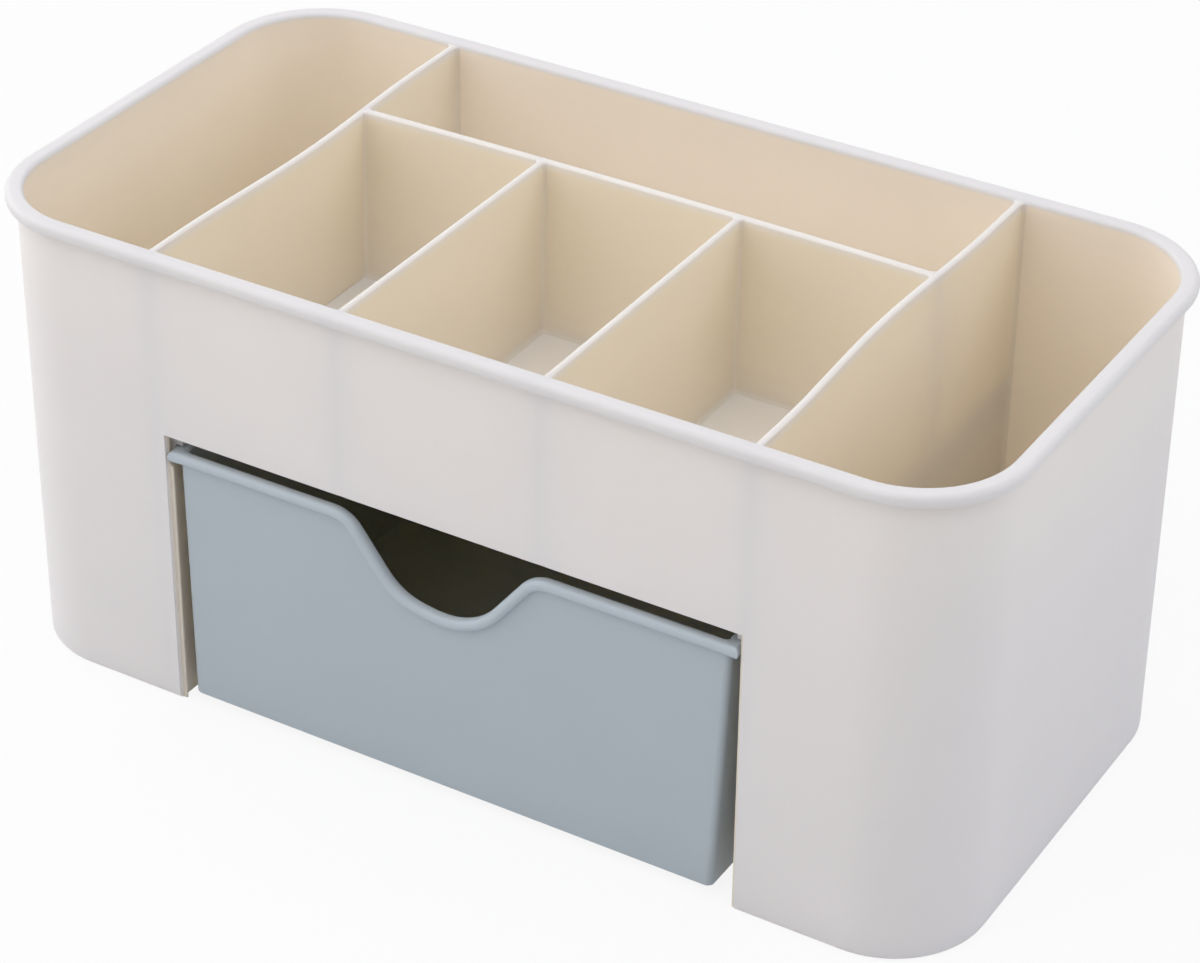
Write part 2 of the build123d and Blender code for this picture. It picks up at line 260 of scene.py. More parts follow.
class StudioSettings(PropertyGroup):
    """Camera and lamps."""

    azimuth: angle("Azimuth", "Camera's turn round the box, from the front to the right", 30.76)
    elevation: angle("Elevation", "Camera's height above the horizon", 31.997)
    roll: angle("Roll", "Camera's turn about its own axis", 0.582)
    distance: length("Distance", "From the camera to its target", 0.722906)
    target: FloatVectorProperty(
        name="Target", description="Point that the camera turns round", default=(0.00077, 0.000614, 0.053458),
        subtype="TRANSLATION", unit="LENGTH",
    )
    focal: FloatProperty(
        name="Focal length", description="In widths of the picture", default=FOCAL_PIXELS / PHOTO_SIZE[0]
    )
    centre: FloatVectorProperty(
        name="Centre", description="Optical centre in the photo's pixels", default=(593.843, 445.448), size=2
    )
    ambient: share("Ambient", "Even light from all round", 0.02, 4.0)
    left: radiance("Left lamp", "on the left", 2.02)
    right: radiance("Right lamp", "on the right, a wide one", 1.18)
    front: radiance("Front lamp", "high in front", 1.42)
    top: radiance("Top lamp", "overhead", 0.4)
    front_left: radiance("Front left lamp", "in front on the left", 1.13)
    back: radiance("Back lamp", "high behind", 0.88)
    back_right: radiance("Back right lamp", "behind on the right", 0.675)
    cool: colour("Left light", "Tint of the left lamp", (0.95, 0.97, 1.0))
    blue: colour("Right light", "Tint of the lamps on the right", (0.895, 0.935, 1.0))
    warm: colour("Front light", "Tint of the other lamps", (1.0, 0.985, 0.96))
    floor: share("Floor", "Whiteness of the floor", 0.80)
    shadow: share("Shadow", "How much of the floor's own shading the camera sees", 0.12)


def arc(centre, radius, start, stop, steps):
    """Points at centre + radius * (cos a, sin a), with a in equal steps from start to stop degrees."""
    turn = np.radians(np.linspace(start, stop, steps + 1))
    return np.stack([centre[0] + radius * np.cos(turn), centre[1] + radius * np.sin(turn)], axis=1)


def run(start, stop, steps):
    """Points in equal steps on the straight line from start to stop."""
    return np.linspace(start, stop, steps + 1)


def smooth(low, high, value):
    """0 below low, 1 above high and the cubic 3t^2 - 2t^3 between."""
    t = np.clip((value - low) / (high - low), 0.0, 1.0)
    return t * t * (3.0 - 2.0 * t)


def rounded_outline(half_x, half_y, corner, front, side, turn):
    """Anticlockwise rounded rectangle as plan points and outward directions.

    Each straight edge has its stations at front or side, each corner is a quarter circle at the angles turn.
    """
    edges = [
        ((1, 0), front, half_x, half_y),
        ((0, 1), side, half_y, half_x),
        ((-1, 0), -front[::-1], half_x, half_y),
        ((0, -1), -side[::-1], half_y, half_x),
    ]
    points, outward = [], []
    for way, stations, half, reach in edges:
        along = np.array(way, float)
        out = np.array([along[1], -along[0]])
        points.append(stations[:, None] * along + reach * out)
        outward.append(np.tile(out, (len(stations), 1)))
        around = np.cos(turn)[:, None] * out + np.sin(turn)[:, None] * along
        points.append((half - corner) * along + (reach - corner) * out + corner * around)
        outward.append(around)
    return np.concatenate(points), np.concatenate(outward)


def sweep(outline, outward, profile):
    """Carries a profile of (out, up) points along an outline: plan point + out * outward, raised by up."""
    plan = outline[:, None, :] + profile[None, :, :1] * outward[:, None, :]
    up = np.broadcast_to(profile[None, :, 1:], plan.shape[:2] + (1,))
    return np.concatenate([plan, up], axis=2)


def quads(around, rows, close_around, close_rows):
    """Four-cornered faces between neighbouring stations of an around x rows grid."""
    starts = np.arange(around if close_around else around - 1)
    u, v = np.meshgrid(starts, np.arange(rows if close_rows else rows - 1), indexing="ij")
    u_next, v_next = (u + 1) % around, (v + 1) % rows
    corners = [u * rows + v, u_next * rows + v, u_next * rows + v_next, u * rows + v_next]
    return np.stack(corners, axis=-1)


def make_piece(name, points, faces, caps=(), attributes=None, rounded=(), sharp=40.0):
    """Mesh object from an array of points, an array of four-cornered faces and a few flat caps.

    Each entry of rounded lists the points of a chain of edges that a bevel may round, and its share of the
    width. Edges sharper than sharp degrees aren't shaded smooth.
    """
    faces = faces.reshape(-1, 4)
    corners = np.concatenate([faces.ravel()] + [np.asarray(cap) for cap in caps])
    counts = np.concatenate([np.full(len(faces), 4), [len(cap) for cap in caps]]).astype(np.int32)
    used, corners = np.unique(corners, return_inverse=True)
    points = points.reshape(-1, 3)[used]
    mesh = bpy.data.meshes.new(name)
    mesh.vertices.add(len(points))
    mesh.vertices.foreach_set("co", points.astype(np.float32).ravel())
    mesh.loops.add(len(corners))
    mesh.loops.foreach_set("vertex_index", corners.astype(np.int32).ravel())
    mesh.polygons.add(len(counts))
    starts = np.concatenate([[0], np.cumsum(counts)[:-1]])
    mesh.polygons.foreach_set("loop_start", starts.astype(np.int32))
    mesh.update(calc_edges=True)
    if mesh.validate():
        raise RuntimeError(f"{name} has faces that don't hold together")
    for key, values in (attributes or {}).items():
        layer = mesh.attributes.new(key, "FLOAT", "POINT")
        layer.data.foreach_set("value", values.ravel()[used].astype(np.float32))
    if rounded:
        ends = np.empty(2 * len(mesh.edges), np.int32)
        mesh.edges.foreach_get("vertices", ends)
        ends = ends.reshape(-1, 2)
        chains = [weight * np.isin(used, chain)[ends].all(axis=1) for chain, weight in rounded]
        layer = mesh.attributes.new("bevel_weight_edge", "FLOAT", "EDGE")
        layer.data.foreach_set("value", np.max(chains, axis=0).astype(np.float32))
    mesh.shade_smooth()
    mesh.set_sharp_from_angle(angle=math.radians(sharp))
    piece = bpy.data.objects.new(name, mesh)
    bpy.context.scene.collection.objects.link(piece)
    return piece


def dress(piece, material, body, node):
    """Gives a new piece its material in a slot and the body it moves with, and hides the packed node that it
    stands for.
    """
    piece.data.materials.append(material)
    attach(piece, body)
    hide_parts(node)


def with_alpha(tone):
    """A node's output as it is, or three numbers as an opaque colour."""
    return tone if isinstance(tone, bpy.types.NodeSocket) else (*tone, 1.0)


class Nodes:
    """Short way to add shader nodes to one material or world."""

    def __init__(self, tree):
        self.tree = tree
        tree.nodes.clear()

    def fill(self, socket, value):
        """Links another node's output to a socket, or sets the socket to a plain value."""
        if isinstance(value, bpy.types.NodeSocket):
            self.tree.links.new(value, socket)
        else:
            socket.default_value = value

    def add(self, kind, inputs=None, **settings):
        """New node of this kind, with its settings and with its inputs filled."""
        node = self.tree.nodes.new(kind)
        for key, value in settings.items():
            setattr(node, key, value)
        for key, value in (inputs or {}).items():
            self.fill(node.inputs[key], value)
        return node

    def attribute(self, name):
        """A mesh attribute's value."""
        return self.add("ShaderNodeAttribute", attribute_name=name, attribute_type="GEOMETRY").outputs["Fac"]

    def mix(self, factor, a, b):
        """Colour between a and b, through the sockets that a mix of colours uses."""
        inputs = {0: factor, 6: with_alpha(a), 7: with_alpha(b)}
        return self.add("ShaderNodeMix", inputs, data_type="RGBA", clamp_factor=True).outputs[2]

    def blend(self, factor, a, b):
        """Shader between a and b."""
        return self.add("ShaderNodeMixShader", {0: factor, 1: a, 2: b}).outputs[0]


def scaled(tone, factor):
    """A colour made lighter or darker, kept within 0 and 1."""
    return tuple(min(1.0, channel * factor) for channel in tone)


def moulded_plastic(name, finish, tone, through=None, layers=()):
    """Satin moulded plastic: cloudy tone, uneven gloss and a fine grain, on Object coordinates.

    Thin plastic also passes light on, in the tone through. Each layer names an attribute, and the tone and
    the through tone that it carries over into.
    """
    material = bpy.data.materials.new(name)
    material.use_nodes = True
    kit = Nodes(material.node_tree)
    place = kit.add("ShaderNodeTexCoord").outputs["Object"]

    def noise(pattern):
        """A noise texture's value."""
        return kit.add("ShaderNodeTexNoise", {"Vector": place, **pattern}).outputs["Fac"]

    cloud = noise(CLOUDS)
    shade = kit.mix(cloud, scaled(tone, CLOUD_DARK), scaled(tone, CLOUD_LIGHT))
    passing = through
    for attribute, layer_tone, layer_through in layers:
        other = kit.mix(cloud, scaled(layer_tone, CLOUD_DARK), scaled(layer_tone, CLOUD_LIGHT))
        amount = kit.attribute(attribute)
        shade = kit.mix(amount, shade, other)
        if layer_through != through:
            passing = kit.mix(amount, passing, layer_through)
    limits = {"To Min": finish.roughness - SMOOTHER, "To Max": finish.roughness + ROUGHER, **GLOSS_USED}
    rough = kit.add("ShaderNodeMapRange", {"Value": noise(GLOSS), **limits})
    bump = kit.add(
        "ShaderNodeBump", {"Strength": finish.grain, "Distance": GRAIN_DEPTH, "Height": noise(GRAIN)}
    )
    surface = {"Base Color": shade, "Roughness": rough.outputs["Result"], "Normal": bump.outputs["Normal"]}
    shader = kit.add("ShaderNodeBsdfPrincipled", {**surface, **POLYPROPYLENE}).outputs["BSDF"]
    if through is not None:
        passed = kit.add("ShaderNodeBsdfTranslucent", {"Color": with_alpha(passing)}).outputs["BSDF"]
        shader = kit.blend(finish.thin, shader, passed)
    kit.add("ShaderNodeOutputMaterial", {"Surface": shader})
    return material


def finish_nodes(names, material):
    """Puts a material into every slot of the named packed nodes."""
    for name in names:
        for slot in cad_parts[name].material_slots:
            slot.material = material


def shell_profile(s):
    """Section of the shell as (out, up) points, with out 0 on the wall's outer face.

    It goes up the outer face, round the rolled rim, down the inner face, over the ledge and back under the
    wall. Returns the points, the outer row at the opening's height, the row of the neck and the inner row at
    the opening's height.
    """
    neck_z = s.height - s.rim_height
    bead = s.overhang - s.rim_round
    inner = -s.wall
    foot = inner - s.ledge
    top_inner = s.height - s.lip_round
    band_z = top_inner - s.band
    up_to_opening = run((0, s.base_round), (0, s.opening), steps=14)
    up_to_neck = run((0, s.opening), (0, neck_z - s.neck), steps=10)[1:-1]
    round_rim_and_down = [
        arc((s.neck, neck_z - s.neck), s.neck, 180, 90, steps=4),
        arc((bead, neck_z + s.rim_round), s.rim_round, -90, 0, steps=6),
        arc((bead, s.height - s.rim_round), s.rim_round, 0, 90, steps=6),
        arc((inner + s.lip_round, top_inner), s.lip_round, 90, 180, steps=4),
        run((inner, top_inner), (inner, band_z), steps=6)[1:],
        run((inner, band_z), (inner, s.opening), steps=9)[1:],
    ]
    over_ledge_and_back = [
        run((inner, s.opening), (inner, s.ledge_height + s.ledge_rise), steps=14)[1:],
        run((foot, s.ledge_height), (foot, 0), steps=1),
        arc((-s.base_round, s.base_round), s.base_round, -90, 0, BASE_STEPS)[:-1],
    ]
    upper = np.concatenate([up_to_opening, up_to_neck, *round_rim_and_down])
    neck_row = len(up_to_opening) + len(up_to_neck)
    profile = np.concatenate([upper, *over_ledge_and_back])
    return profile, len(up_to_opening) - 1, neck_row, len(upper) - 1


def shell_stations(s, divider):
    """Stations along the front and back, closer together beside the opening and at the dividers' ends."""
    end = s.width / 2 - s.corner
    jamb = s.opening_half + JAMB_STATIONS
    mark = divider + MARK_STATIONS
    to_mark = run(0.0, mark[0], steps=5)[:-1]
    to_jamb = run(mark[-1], jamb[0], steps=8)[1:-1]
    half = np.concatenate([to_mark, mark, to_jamb, jamb, run(jamb[-1], end, steps=5)[1:]])
    return np.concatenate([-half[:0:-1], half])


def shell_points(s, panels, outline, outward, profile, neck_row):
    """Profile swept round the outline, with its small faults and without the ledge in the drawer bay.

    The right jamb is moved off to the right, less and less above the opening: shift * near * low. Outside the
    panels' ends the wall sinks in by sink * exp(-(distance / width)^2), less and less towards the rim.
    """
    points = sweep(outline, outward, profile)
    across, up = np.abs(outline[:, :1]), profile[None, :, 1]
    facing = outward[:, 1:]

    near = smooth(s.jamb_fade, 0.0, np.abs(outline[:, :1] - s.opening_half)) * (facing < -STRAIGHT)
    points[:, :, 0] += s.jamb_shift * near * smooth(s.opening + s.jamb_rise, s.opening, up)

    beside = smooth(panels[1], panels[1] + s.ledge_end, across) + (facing > -STRAIGHT)
    ledge = np.maximum(-s.wall - profile[None, :, 0], 0.0) * (1.0 - np.minimum(beside, 1.0))
    points[:, :, :2] += ledge[:, :, None] * outward[:, None, :]

    outer = (np.arange(len(profile)) <= neck_row)[None, :] & (up > s.base_round)
    neck_z = s.height - s.rim_height
    fade = smooth(neck_z, neck_z - s.sink_fade, up)
    depth = sum(np.exp(-(((across - panel) / s.sink_width) ** 2)) for panel in panels)
    dent = s.sink * depth * fade * outer * (np.abs(facing) > STRAIGHT)
    points[:, :, :2] -= dent[:, :, None] * outward[:, None, :]
    return points


def shell_tones(s, profile, around, jambs):
    """Share of the cream inside and of the rim's painted shade at each point; the jambs' ends stay white."""
    out, up = profile[:, 0], profile[:, 1]
    cream = smooth(s.height - s.cream_start, s.height - s.cream_full, up)
    cream = np.where((out < TINY - s.wall) & (up > s.ledge_height - TINY), cream, 0.0)
    inside = np.tile(cream, (around, 1))
    inside[np.ix_(jambs, up < s.opening - TINY)] = 0.0
    neck_z = s.height - s.rim_height
    # Painted shade: from just under the neck upward, the rolled rim takes the darker rim tone.
    rim = smooth(neck_z - s.rim_shade_start, neck_z + s.rim_shade_full, up)
    return {"inside": inside, "rim": np.tile(rim, (around, 1))}


def build_shell(s, panels):
    """Shell swept round a rounded rectangle, with the opening left out of the grid and its edges closed."""
    front = shell_stations(s, panels[0])
    side = run(s.corner - s.depth / 2, s.depth / 2 - s.corner, steps=16)
    turn = np.linspace(0, np.pi / 2, CORNER_STEPS + 1)[1:-1]
    half_x, half_y, corner = s.width / 2 - s.overhang, s.depth / 2 - s.overhang, s.corner - s.overhang
    outline, outward = rounded_outline(half_x, half_y, corner, front, side, turn)
    profile, low_out, neck_row, low_in = shell_profile(s)
    points = shell_points(s, panels, outline, outward, profile, neck_row)
    around, rows = points.shape[:2]
    first, last = (int(np.argmin(np.abs(front - x))) for x in (-s.opening_half, s.opening_half))

    keep = np.ones((around, rows), bool)
    keep[first:last, :low_out] = False
    keep[first:last, low_in:] = False
    u = np.arange(first, last) * rows
    lintel = np.stack([u + low_in, u + rows + low_in, u + rows + low_out, u + low_out], axis=1)
    faces = np.concatenate([quads(around, rows, True, True)[keep], lintel])
    jamb = np.concatenate([np.arange(low_in, rows), np.arange(low_out + 1)])
    caps = [first * rows + jamb[::-1], last * rows + jamb]

    outer_rows = np.concatenate([np.arange(low_out + 1), np.arange(rows - BASE_STEPS, rows)])
    jamb_edges = np.array([[first], [last]]) * rows + outer_rows
    across = np.arange(first, last + 1) * rows
    rounded = ((jamb_edges, 1.0), (across + low_out, LINTEL_OUTER), (across + low_in, LINTEL_INNER))
    tones = shell_tones(s, profile, around, [first, last])
    piece = make_piece("shell", points, faces, caps, tones, rounded)
    bevel = piece.modifiers.new("Opening edges", "BEVEL")
    bevel.width = s.opening_round
    bevel.segments = 4
    bevel.limit_method = "WEIGHT"
    bevel.harden_normals = True
    return piece


def close_ends(start, stop, near, steps):
    """Stations from start to stop: at the distances near from both ends, and in equal steps between."""
    between = run(start + near[-1], stop - near[-1], steps)[1:-1]
    return np.concatenate([start + near, between, stop - near[::-1]])


def fillet_rise(distance, radius):
    """Height of a hollow quarter circle of this radius over a corner, at this distance from it."""
    d = np.clip(distance, 0.0, radius)
    return radius - np.sqrt(np.maximum(radius**2 - (radius - d) ** 2, 0.0))


def panel_section(low, high, crown, heights):
    """Section of an upright panel as one row of side shares from 1 to -1 and one of heights.

    It goes up the right face, over an elliptic top edge of height crown and down the left face.
    """
    turn = np.linspace(0, np.pi, CROWN_STEPS + 1)[1:-1]
    up = np.concatenate([[low], heights, [high - crown]])
    side = np.concatenate([np.ones(len(up)), np.cos(turn), -np.ones(len(up))])
    height = np.concatenate([up, high - crown + crown * np.sin(turn), up[::-1]])
    return side[None, :], height[None, :]


def build_panel(name, x, y, z, right, half, p):
    """Closed panel, its points at (x, y, z) + right * half over (along, section), with painted light along
    its top edge.
    """
    points = np.stack(np.broadcast_arrays(x, y, z), axis=2) + np.array(right) * half[:, :, None]
    along, rows = half.shape
    section = np.arange(rows)
    caps = [section, (along - 1) * rows + section[::-1]]
    # Painted light: a paler tone along the top edge, where it catches direct light.
    edge = np.broadcast_to(smooth(p.top - p.painted_light_band, p.top - p.painted_light_band_full, z), half.shape)
    return make_piece(name, points, quads(along, rows, False, True), caps, {"edge": edge})


def bow_at(y, p):
    """Bow of a partition's top edge at y: half a cosine wave each way from just in front of the middle."""
    t = np.clip((y + p.bow_ahead) / p.bow_reach, -1.0, 1.0)
    return p.bow * (0.5 + 0.5 * np.cos(np.pi * t))


def cross_bow_at(x, p):
    """Bow of the cross divider's top edge at x: a parabola, none at its ends."""
    return p.cross_bow * (1.0 - (x / p.bay_half) ** 2)


def lean_at(z, p):
    """Share of the bow at height z: none at the tray floor, all of it at the top, as t^2 * (2 - t)."""
    t = np.clip((z - p.tray_top) / (p.top - p.tray_top), 0.0, 1.0)
    return t * t * (2.0 - t)


def build_partition(side, s, p):
    """Full-height panel: plan x = middle - bow(y) * lean(z), thickened where it runs into the walls.

    Below the runner its face in the drawer bay stands forward, flush with the jamb.
    """
    rail_rows = face_of("left_runner", 0, 2) - RAIL_ROWS
    heights = np.sort(np.concatenate([PARTITION_ROWS, rail_rows]))
    c, z = panel_section(0.0, p.top, p.top_round, heights)
    y = close_ends(-p.reach, p.reach, END_STATIONS, steps=40)[:, None]
    x = side * (p.bay_half + p.partition / 2) - side * bow_at(y, p) * lean_at(z, p)
    rise = fillet_rise(s.depth / 2 - s.overhang - s.wall - np.abs(y), p.flare)
    step = p.bay_half - s.opening_half - (s.jamb_shift if side > 0 else 0.0)
    forward = step * smooth(rail_rows[0], rail_rows[-1], z) * (c * side < 0)
    half = c * (p.partition / 2 + rise) + c * forward
    name = "left_wall_panel" if side < 0 else "right_wall_panel"
    return build_panel(name, x, y, z, (1.0, 0.0, 0.0), half, p)


def build_cross(p):
    """Divider across the middle: its ends lean with the bowed partitions, x = share * reach(z)."""
    low_y, high_y = face_of("cross_divider", 0, 1), face_of("cross_divider", 1, 1)
    c, z = panel_section(p.tray_top, p.top, p.top_round, p.tray_top + DIVIDER_ROWS)
    reach = p.bay_half + p.seat - bow_at(low_y, p) * lean_at(z, p)
    x = close_ends(-1.0, 1.0, END_STATIONS / p.bay_half, steps=40)[:, None] * reach
    rise = fillet_rise(reach - p.seat - np.abs(x), p.flare) + fillet_rise(z - p.tray_top, p.flare)
    half = c * ((high_y - low_y) / 2 + rise)
    y = (low_y + high_y) / 2 + cross_bow_at(x, p) * lean_at(z, p)
    return build_panel("cross_panel", x, y, z, (0.0, -1.0, 0.0), half, p)


def build_front_divider(side, s, p):
    """Short divider from the front wall to the cross divider, thickened where it meets them and the floor."""
    name = ("left" if side < 0 else "right") + "_front_divider"
    low_x, high_x = face_of(name, 0, 0), face_of(name, 1, 0)
    wall_y, cross_y = s.overhang + s.wall - s.depth / 2, face_of("cross_divider", 0, 1)
    along = close_ends(0.0, 1.0, END_STATIONS / (cross_y - wall_y), steps=30)[:, None]
    c, z = panel_section(p.tray_top, p.top, p.top_round, p.tray_top + DIVIDER_ROWS)
    cross_y = cross_y + cross_bow_at(low_x, p) * lean_at(z, p)
    y = wall_y - p.seat + along * (cross_y - wall_y + 2 * p.seat)
    rise = fillet_rise(np.minimum(y - wall_y, cross_y - y), p.flare) + fillet_rise(z - p.tray_top, p.flare)
    half = c * ((high_x - low_x) / 2 + rise)
    return build_panel(name + "_panel", (low_x + high_x) / 2, y, z, (1.0, 0.0, 0.0), half, p)


def notch_edge(d, x_end):
    """Right half of the drawer front's wave-shaped edge, from the notch's middle to x_end.

    An arc for the bottom, a line that touches both arcs, an arc for the shoulder and the straight top.
    Returns x, z and the slope angle; the way into the plastic is (sin slope, -cos slope).
    """
    shoulder_x, shoulder_z = d.notch_width / 2, d.top - d.shoulder
    bottom_z = d.top - d.notch_depth + d.notch_round
    rise = shoulder_z - bottom_z
    between = math.hypot(shoulder_x, rise)
    steep = math.asin((d.shoulder + d.notch_round) / between) + math.atan2(rise, shoulder_x)
    low, high = run(0, steep, steps=14), run(steep, 0, steps=12)
    bottom = np.stack([d.notch_round * np.sin(low), bottom_z - d.notch_round * np.cos(low)], axis=1)
    top = np.stack([shoulder_x - d.shoulder * np.sin(high), shoulder_z + d.shoulder * np.cos(high)], axis=1)
    line = run(bottom[-1], top[0], steps=4)[1:-1]
    flat = run((shoulder_x, d.top), (x_end, d.top), steps=14)[1:]
    slope = np.concatenate([low, np.full(len(line), steep), high, np.zeros(len(flat))])
    edge = np.concatenate([bottom, line, top, flat])
    return edge[:, 0], edge[:, 1], slope


def drawer_edge(d):
    """Closed upper edge of the tub, station by station.

    Returns its points, the ways into the plastic, the outward ways, the reach and the height of the lip or
    flange there, and whether it is the lip.
    """
    half_y = (d.front + d.back) / 2
    middle_y = (d.back - d.front) / 2
    x, z, slope = notch_edge(d, d.half - d.corner)
    skew = d.notch_skew * smooth(0.0, d.skew_full, x) * smooth(d.half - d.corner, d.skew_end, x)
    mirrored = (-(x + skew), z, -slope)
    x, z, slope = (np.concatenate([left[:0:-1], right]) for left, right in zip(mirrored, (x, z, slope)))
    side = run(d.corner - half_y, half_y - d.corner, steps=12)
    square = math.degrees(math.atan2(d.lip_half - d.half + d.corner, d.lip + d.corner))
    turn = np.radians([*LIP_TURNS, square])
    turn = np.unique(np.concatenate([turn, np.pi / 2 - turn]).round(6))
    # The back has the front's stations too, but its edge is level.
    outline, outward = rounded_outline(d.half, half_y, d.corner, x, side, turn)
    count, in_front = len(outline), len(x)
    height = np.full(count, d.top)
    height[:in_front] = z
    into = np.tile((0.0, 0.0, -1.0), (count, 1))
    into[:in_front, 0], into[:in_front, 2] = np.sin(slope), -np.cos(slope)
    edge = np.column_stack([outline[:, 0], outline[:, 1] + middle_y, height])
    out = np.column_stack([outward, np.zeros(count)])

    # In the two front corners the lip's ears reach a square corner, then drop back to the flange.
    across, ahead = np.maximum(np.abs(outward[:, 0]), TINY), np.maximum(-outward[:, 1], TINY)
    ear = np.minimum((d.lip_half - d.half + d.corner) / across, (d.lip + d.corner) / ahead) - d.corner
    flange = np.where(outward[:, 1] < 0, (d.flange + d.corner) / across - d.corner, d.flange)
    is_lip = outward[:, 1] < -math.cos(math.radians(LIP_END))
    reach = np.where(is_lip, ear, flange)
    tall = np.where(is_lip, d.lip_height, d.flange_height)
    return edge, into, out, reach, tall, is_lip


def build_drawer(d):
    """Tub lofted from its upper edge: rings at edge + into * down + out * across, then the walls.

    From the floor's rim inside, up the inner wall, over the lip or flange and down the outer wall to the
    underside.
    """
    edge, into, out, reach, tall, is_lip = drawer_edge(d)
    flange_sizes = (d.wall, d.flange_height, d.flange_height, d.flange_height)
    inner_round, top_round, low_round, hollow = (
        np.where(is_lip, lip * d.lip_height, flange * size)
        for lip, flange, size in zip(LIP_ROUNDS, FLANGE_ROUNDS, flange_sizes)
    )

    # How far each station follows the centre of its nearest corner, when that moves to keep its radius.
    half_y, middle_y = (d.front + d.back) / 2, (d.back - d.front) / 2
    from_notch = d.notch_width / 2 + d.notch_clear
    follow_x = np.clip((np.abs(edge[:, 0]) - from_notch) / (d.half - d.corner - from_notch), 0.0, 1.0)
    follow_y = np.clip(np.abs(edge[:, 1] - middle_y) / (half_y - d.corner), 0.0, 1.0)
    follow = np.column_stack([np.sign(edge[:, 0]) * follow_x, np.sign(edge[:, 1] - middle_y) * follow_y])
    lean = d.draft * np.column_stack([follow[:, 0], np.maximum(follow[:, 1], 0.0)])
    lean = lean + np.array([d.hang, 0.0])

    def moved(point, across, corner):
        """Points carried out by across, with corners no tighter than corner, and in by the lean there."""
        slack = np.minimum(across + d.corner - corner, 0.0)[:, None]
        deep = (d.top - point[:, 2:]) / (d.top - d.bottom)
        plan = point[:, :2] + out[:, :2] * (across[:, None] - slack) + follow * slack - lean * deep
        return np.column_stack([plan, point[:, 2]])

    def level(across, down, corner):
        """Ring of points at this distance out from the tub's face and down along the way into the plastic."""
        return moved(edge + into * down[:, None], across, corner)

    def wall(across, down, stop_z, corner, steps):
        """Rings from a level down to a height, on the tub's face."""
        start = edge + into * down[:, None]
        across = np.full(len(edge), across)
        rings = []
        for t in run(0, 1, steps)[1:]:
            z = start[:, 2] + (stop_z - start[:, 2]) * t
            point = np.column_stack([start[:, 0] + (edge[:, 0] - start[:, 0]) * t, edge[:, 1], z])
            rings.append(moved(point, across, corner))
        return rings

    def flat(across, z, corner):
        """Level ring at this height and distance from the tub's upper face."""
        point = np.column_stack([edge[:, :2], np.full(len(edge), z)])
        return moved(point, np.full(len(edge), across), corner)

    floor_z = d.bottom + d.floor
    # A quarter turn in steps, as shares of its radius: one goes from 0 to 1, the other from 1 to 0.
    turn = np.radians(run(0, 90, steps=5))
    quarter = list(zip(1 - np.cos(turn), 1 - np.sin(turn)))
    rings = [
        flat(d.inner_round * (fall - 1) - d.wall, floor_z + d.inner_round * rise, d.inner_corner)
        for rise, fall in quarter[:0:-1]
    ]
    rings += wall(-d.wall, inner_round, floor_z + d.inner_round, d.inner_corner, steps=10)[::-1]
    lip_start = len(rings)
    rings += [
        level(inner_round * rise - d.wall, inner_round * fall, d.inner_corner) for rise, fall in quarter
    ]
    rings += [level(reach - top_round * fall, top_round * rise, d.corner) for rise, fall in quarter]
    rings += [level(reach - low_round * rise, tall - low_round * fall, d.corner) for rise, fall in quarter]
    lip_rows = np.arange(lip_start, len(rings))
    rings += [level(hollow * fall, tall + hollow * rise, d.corner) for rise, fall in quarter]
    rings += wall(0.0, tall + hollow, d.bottom + d.base_round, d.corner, steps=14)
    rings += [
        flat(-d.base_round * rise, d.bottom + d.base_round * fall, d.corner) for rise, fall in quarter[1:]
    ]
    points = np.stack(rings, axis=1)
    around, rows = points.shape[:2]
    # Mask of the lip's rows, for its painted highlight: a lighter blue-grey on the thick lip.
    lip = is_lip[:, None] & np.isin(np.arange(rows), lip_rows)[None, :]
    station = np.arange(around) * rows
    caps = [station, station[::-1] + rows - 1]
    faces = quads(around, rows, True, False)[:, :, ::-1]
    return make_piece("drawer_tub", points, faces, caps, {"lip": lip})


class ORGANIZER_OT_shell(Operator):
    """Build the round-cornered shell with its rolled rim and drawer opening"""

    bl_idname = "organizer.shell"
    bl_label = "Shell"

    def execute(self, context):
        scene = context.scene
        finish = scene.organizer_finish
        divider = (face_of("right_front_divider", 0, 0) + face_of("right_front_divider", 1, 0)) / 2
        partition = scene.organizer_panels.bay_half + scene.organizer_panels.partition / 2
        piece = build_shell(scene.organizer_shell, (divider, partition))
        # The rim layer is painted shade, a darker white on the rolled rim; the inside layer is the cream of
        # the inner walls.
        layers = (("rim", finish.rim, finish.pale), ("inside", finish.inside, finish.through))
        plastic = moulded_plastic("shell_plastic_look", finish, finish.outside, finish.pale, layers)
        dress(piece, plastic, CASE, "outer_shell")
        return {"FINISHED"}


class ORGANIZER_OT_panels(Operator):
    """Build the partitions and dividers that part the compartments"""

    bl_idname = "organizer.panels"
    bl_label = "Partitions and dividers"

    def execute(self, context):
        scene = context.scene
        s, p, finish = scene.organizer_shell, scene.organizer_panels, scene.organizer_finish
        # The edge layer is painted light: a paler tone along the panels' top edges.
        layers = (("edge", finish.edge, finish.pale),)
        plastic = moulded_plastic("panel_plastic_look", finish, finish.panel, finish.through, layers)
        for side, word in ((-1, "left"), (1, "right")):
            dress(build_partition(side, s, p), plastic, CASE, word + "_partition")
            dress(build_front_divider(side, s, p), plastic, CASE, word + "_front_divider")
        dress(build_cross(p), plastic, CASE, "cross_divider")
        return {"FINISHED"}


class ORGANIZER_OT_floors(Operator):
    """Finish the compartment floors and the drawer's runners"""

    bl_idname = "organizer.floors"
    bl_label = "Floors and runners"

    def execute(self, context):
        finish = context.scene.organizer_finish
        floor_plastic = moulded_plastic("floor_look", finish, finish.tray, finish.through)
        finish_nodes(["tray_floor", "left_well_floor", "right_well_floor"], floor_plastic)
        runner_plastic = moulded_plastic("runner_look", finish, finish.outside, finish.pale)
        finish_nodes(["left_runner", "right_runner"], runner_plastic)
        return {"FINISHED"}


